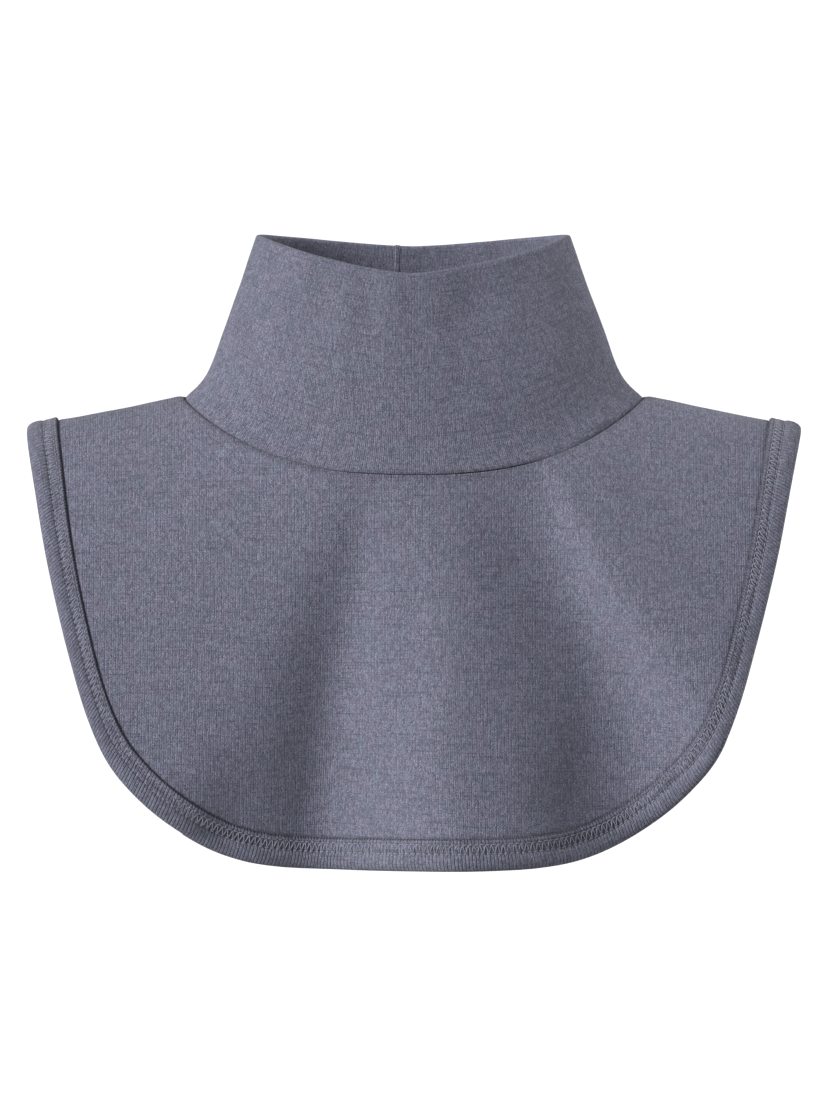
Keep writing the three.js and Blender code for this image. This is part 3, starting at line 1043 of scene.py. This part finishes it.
def sew(name, stitch, starts, ends, normals, material):
    """Copies of the stitch from each start to its end, arched along the normals and joined into one piece."""
    length = max(corner[0] for corner in stitch.bound_box) * 2
    copies = []
    for start, end, normal in zip(starts * MM, ends * MM, normals):
        along = Vector(end - start)
        reach = along.length
        along.normalize()
        side = Vector(normal).cross(along).normalized()
        turn = Matrix((along, side, along.cross(side))).transposed().to_4x4()
        mesh = stitch.data.copy()
        mesh.transform(Matrix.Diagonal((reach / length, 1, 1, 1)))
        mesh.transform(Matrix.Translation(Vector(start + end) / 2) @ turn)
        copy = bpy.data.objects.new(name, mesh)
        bpy.context.scene.collection.objects.link(copy)
        copies.append(copy)
    bpy.ops.object.select_all(action="DESELECT")
    for copy in copies:
        copy.select_set(True)
    bpy.context.view_layer.objects.active = copies[0]
    bpy.ops.object.join()
    thread = bpy.context.object
    thread.name = name
    thread.data.materials.clear()
    thread.data.materials.append(material)
    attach(thread, "root")
    return thread


class NECK_WARMER_OT_stitches(bpy.types.Operator):
    """Sew the binding down with two needle rows, crossing threads inside, and overlock the neck seam"""

    bl_idname = "neck_warmer.stitches"
    bl_label = "Stitches"

    # A stitch's arch is given in metres, and the gap as the share of it that is left free at each end
    arch = 0.00022
    gap = 0.1

    # The overlock's two rows, as distances from the neck seam
    overlock_rows = (2.2, 7.6)

    def execute(self, context):
        settings = context.scene.neck_warmer
        sizes = settings.sizes
        material = thread_material("sewing_thread", settings.look)
        stitch = model_stitch(sizes.stitch, sizes.thread, self.arch)
        both = halves(*stitch_counts(sizes, hem_ring))
        face = catmull_rom(BINDING_FACE, np.linspace(0, 1, 200))
        rises = np.interp(NEEDLE_ROWS, face[:, 0], face[:, 1])
        middle, normals = binding_places(both, np.array(NEEDLE_ROWS))
        for name, sign in (("binding_face", 1), ("binding_lining", -1)):
            holes = middle + sign * (rises + THREAD_LIFT)[:, None] * normals
            ahead = np.roll(holes, -1, axis=0)
            inner, outer, outward = holes[:, 0], (holes[:, 1] + ahead[:, 1]) / 2, sign * normals[:, 0]
            starts, ends = np.concatenate([inner, outer]), np.concatenate([outer, ahead[:, 0]])
            zigzag = sew(
                f"{name}_zigzag", stitch, starts, ends, np.concatenate([outward, outward]), material)
            for row in (0, 1):
                step = self.gap * (ahead[:, row] - holes[:, row])
                run = sew(
                    f"{name}_row_{row}", stitch, holes[:, row] + step, ahead[:, row] - step,
                    sign * normals[:, row], material)

        seams = halves(*stitch_counts(sizes, seam_ring))
        skin, normals = yoke_skin(seams, lambda spoke: np.array(self.overlock_rows) + 0 * spoke)
        depth = YOKE_THICKNESS + CLEARANCE + COLLAR_THICKNESS
        edge = skin - (depth + THREAD_LIFT) * normals
        across = np.roll(edge, -1, axis=0)
        starts = np.concatenate([edge[:, 0], edge[:, 1]])
        ends = np.concatenate([edge[:, 1], across[:, 0]])
        inward = -np.concatenate([normals[:, 0], normals[:, 1]])
        overlock = sew("neck_seam_overlock", stitch, starts, ends, inward, material)
        bpy.data.objects.remove(stitch)
        return {"FINISHED"}


class Lamp(NamedTuple):
    """A distant soft light. azimuth is the turn from the front to the left, softness its width in degrees."""

    name: str
    azimuth: float
    elevation: float
    strength: float
    softness: float


class NECK_WARMER_OT_stage(bpy.types.Operator):
    """Set up the pale floor, the soft studio light and the camera"""

    bl_idname = "neck_warmer.stage"
    bl_label = "Stage"

    floor_height = -0.45
    floor_radius = 60
    sky = 0.37
    lamp_distance = 3
    lamps = (
        Lamp("key_light", azimuth=54, elevation=20, strength=5.35, softness=26),
        Lamp("side_light", azimuth=-108, elevation=14, strength=3.1, softness=35),
    )
    aim = Vector((0, 0, -0.0744))
    camera_distance = 5
    camera_elevation = 5

    # The photograph's height in pixels, and the size of a pixel where the garment stands
    photo_height = 1104
    photo_pixel = 0.00048
    sensor = 36

    def execute(self, context):
        scene = context.scene
        look = scene.neck_warmer.look
        bpy.ops.mesh.primitive_circle_add(
            vertices=96, radius=self.floor_radius, fill_type="NGON", location=(0, 0, self.floor_height))
        floor = context.object
        floor.name = "studio_floor"
        bpy.ops.object.transform_apply(location=True)
        shader = Shader("pale_floor")
        shader.surface.inputs["Base Color"].default_value = tuple(look.floor) + (1.0,)
        shader.surface.inputs["Roughness"].default_value = 0.9
        floor.data.materials.append(shader.material)
        floor.visible_diffuse = False

        world = bpy.data.worlds.new("studio")
        world.use_nodes = True
        world.node_tree.nodes["Background"].inputs["Color"].default_value = (1, 1, 1, 1)
        world.node_tree.nodes["Background"].inputs["Strength"].default_value = self.sky
        scene.world = world

        for lamp in self.lamps:
            light = bpy.data.lights.new(lamp.name, "SUN")
            light.energy = lamp.strength
            light.angle = radians(lamp.softness)
            toward = self.direction(lamp.azimuth, lamp.elevation)
            holder = bpy.data.objects.new(lamp.name, light)
            holder.location = self.lamp_distance * toward
            holder.rotation_euler = toward.to_track_quat("Z", "Y").to_euler()
            scene.collection.objects.link(holder)

        lens = bpy.data.cameras.new("camera")
        lens.sensor_width = self.sensor
        lens.lens = self.sensor * self.camera_distance / (self.photo_height * self.photo_pixel)
        lens.clip_end = 200
        back = self.direction(0, self.camera_elevation)
        camera = bpy.data.objects.new("camera", lens)
        camera.location = self.aim + self.camera_distance * back
        camera.rotation_euler = back.to_track_quat("Z", "Y").to_euler()
        scene.collection.objects.link(camera)
        scene.camera = camera
        scene.view_settings.view_transform = "Standard"
        return {"FINISHED"}

    @staticmethod
    def direction(azimuth, elevation):
        """A direction to the front, turned to the left and raised by the given degrees."""
        turn, rise = radians(azimuth), radians(elevation)
        return Vector((-sin(turn) * cos(rise), -cos(turn) * cos(rise), sin(rise)))


PIECES = (
    NECK_WARMER_OT_yoke,
    NECK_WARMER_OT_collar,
    NECK_WARMER_OT_binding,
    NECK_WARMER_OT_stitches,
    NECK_WARMER_OT_stage,
)


class NECK_WARMER_PT_panel(bpy.types.Panel):
    """Lists the pieces of the neck warmer and its settings"""

    bl_idname = "NECK_WARMER_PT_panel"
    bl_label = "Neck Warmer"
    bl_space_type = "VIEW_3D"
    bl_region_type = "UI"
    bl_category = "Neck Warmer"

    def draw(self, context):
        settings = context.scene.neck_warmer
        for group in (settings.sizes, settings.look):
            column = self.layout.column()
            for name in group.__annotations__:
                column.prop(group, name)
        for operator in PIECES:
            self.layout.operator(operator.bl_idname)


CLASSES = (NeckWarmerSizes, NeckWarmerLook, NeckWarmerSettings, *PIECES, NECK_WARMER_PT_panel)


def register():
    for added in CLASSES:
        bpy.utils.register_class(added)
    bpy.types.Scene.neck_warmer = PointerProperty(type=NeckWarmerSettings)


def unregister():
    del bpy.types.Scene.neck_warmer
    for added in reversed(CLASSES):
        bpy.utils.unregister_class(added)


def main():
    """Make the neck warmer and its stage."""
    register()
    bpy.ops.object.select_all(action="DESELECT")
    bpy.ops.neck_warmer.yoke()
    bpy.ops.neck_warmer.collar()
    bpy.ops.neck_warmer.binding()
    bpy.ops.neck_warmer.stitches()
    bpy.ops.neck_warmer.stage()


if __name__ == "__main__":
    main()
